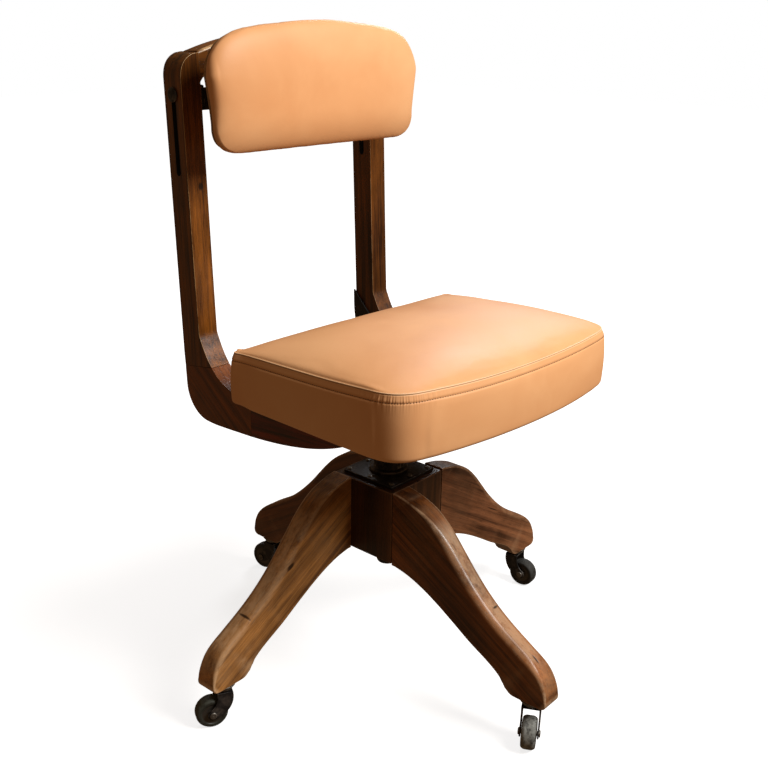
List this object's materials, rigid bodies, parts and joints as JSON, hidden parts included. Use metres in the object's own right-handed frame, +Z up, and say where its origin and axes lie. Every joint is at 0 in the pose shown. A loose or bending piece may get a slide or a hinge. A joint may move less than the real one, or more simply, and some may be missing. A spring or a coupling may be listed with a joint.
{
  "type": "swivel office chair",
  "caption": "Wooden swivel office chair with a box-cushioned seat, a tilting back pad between curved uprights, and a pinwheel timber base on swivel casters.",
  "frame": {"origin": "on the floor, under the axis of the seat column", "axes": "+Z up along the column axis, the sitter faces -Y, +X is towards the sitter's left"},
  "size_m": [0.6342, 0.6358, 0.8797],
  "materials": {
    "frame_wood": "satin",
    "leg_wood": "satin",
    "corner_wood": "satin",
    "plywood": "matte",
    "leather": "satin",
    "black_steel": "satin",
    "worn_steel": "satin",
    "wheel_rubber": "matte"
  },
  "bodies": {
    "base": {"hub_block": "frame_wood", "hub_sleeve": "black_steel", "hub_plate": "black_steel", "hub_cap": "black_steel", "plate_screw_1": "worn_steel", "plate_screw_2": "worn_steel", "plate_screw_3": "worn_steel", "plate_screw_4": "worn_steel", "plate_screw_5": "worn_steel", "plate_screw_6": "worn_steel", "plate_screw_7": "worn_steel", "plate_screw_8": "worn_steel", "leg_front": "leg_wood", "leg_left": "leg_wood", "leg_rear": "leg_wood", "leg_right": "leg_wood", "caster_stem_front": "worn_steel", "caster_stem_left": "worn_steel", "caster_stem_rear": "worn_steel", "caster_stem_right": "worn_steel"},
    "caster_front": {"caster_race_front": "worn_steel", "caster_fork_front": "black_steel", "caster_axle_front": "worn_steel"},
    "caster_left": {"caster_race_left": "worn_steel", "caster_fork_left": "black_steel", "caster_axle_left": "worn_steel"},
    "caster_rear": {"caster_race_rear": "worn_steel", "caster_fork_rear": "black_steel", "caster_axle_rear": "worn_steel"},
    "caster_right": {"caster_race_right": "worn_steel", "caster_fork_right": "black_steel", "caster_axle_right": "worn_steel"},
    "wheel_front": {"caster_wheel_front": "wheel_rubber"},
    "wheel_left": {"caster_wheel_left": "wheel_rubber"},
    "wheel_rear": {"caster_wheel_rear": "wheel_rubber"},
    "wheel_right": {"caster_wheel_right": "wheel_rubber"},
    "height_nut": {"height_nut": "black_steel"},
    "column": {"spindle": "worn_steel"},
    "seat": {"seat_plate": "black_steel", "batten_front": "leg_wood", "batten_rear": "leg_wood", "seat_board": "plywood", "seat_cushion": "leather", "rail_left": "frame_wood", "rail_right": "frame_wood", "corner_block_left": "corner_wood", "corner_block_right": "corner_wood", "upright_left": "frame_wood", "upright_right": "frame_wood", "gusset_left": "black_steel", "gusset_right": "black_steel", "crest_rail": "frame_wood"},
    "back_slider": {"slot_bolt_left": "black_steel", "slot_bolt_right": "black_steel"},
    "back_rest": {"pivot_bar": "black_steel", "pad_arm_left": "black_steel", "pad_arm_right": "black_steel", "back_board": "plywood", "back_pad": "leather"}
  },
  "joints": [
    {"name": "caster_swivel_front", "type": "hinge", "parent": "base", "child": "caster_front", "pos_m": [-0.02229, -0.28362, 0.06], "axis": [0, 0, 1], "continuous": true},
    {"name": "caster_swivel_left", "type": "hinge", "parent": "base", "child": "caster_left", "pos_m": [-0.28362, 0.02229, 0.06], "axis": [0, 0, 1], "continuous": true},
    {"name": "caster_swivel_rear", "type": "hinge", "parent": "base", "child": "caster_rear", "pos_m": [0.02229, 0.28362, 0.06], "axis": [0, 0, 1], "continuous": true},
    {"name": "caster_swivel_right", "type": "hinge", "parent": "base", "child": "caster_right", "pos_m": [0.28362, -0.02229, 0.06], "axis": [0, 0, 1], "continuous": true},
    {"name": "wheel_spin_front", "type": "hinge", "parent": "caster_front", "child": "wheel_front", "pos_m": [-0.03685, -0.2924, 0.0215], "axis": [0.5165, -0.8563, 0], "continuous": true},
    {"name": "wheel_spin_left", "type": "hinge", "parent": "caster_left", "child": "wheel_left", "pos_m": [-0.29904, 0.02945, 0.0215], "axis": [-0.421, -0.907, 0], "continuous": true},
    {"name": "wheel_spin_rear", "type": "hinge", "parent": "caster_rear", "child": "wheel_rear", "pos_m": [0.01961, 0.30041, 0.0215], "axis": [-0.9874, -0.1582, 0], "continuous": true},
    {"name": "wheel_spin_right", "type": "hinge", "parent": "caster_right", "child": "wheel_right", "pos_m": [0.28602, -0.03913, 0.0215], "axis": [0.99, 0.1409, 0], "continuous": true},
    {"name": "height_screw", "type": "hinge", "parent": "base", "child": "height_nut", "pos_m": [0, 0, 0.3], "axis": [0, 0, 1], "range_deg": [-2160, 540]},
    {"name": "column_rise", "type": "slide", "parent": "base", "child": "column", "axis": [0, 0, 1], "range_m": [-0.012, 0.048]},
    {"name": "seat_swivel", "type": "hinge", "parent": "column", "child": "seat", "pos_m": [0, 0, 0.38], "axis": [0, 0, 1], "continuous": true},
    {"name": "back_height", "type": "slide", "parent": "seat", "child": "back_slider", "axis": [0, 0.043, 0.9991], "range_m": [-0.093, 0.003]},
    {"name": "back_tilt", "type": "hinge", "parent": "back_slider", "child": "back_rest", "pos_m": [0, 0.2157, 0.787], "axis": [1, 0, 0], "range_deg": [-15, 15]}
  ],
  "couplings": [
    {"joint": "height_screw", "follows": "column_rise", "rad_per_m": -785.39}
  ]
}
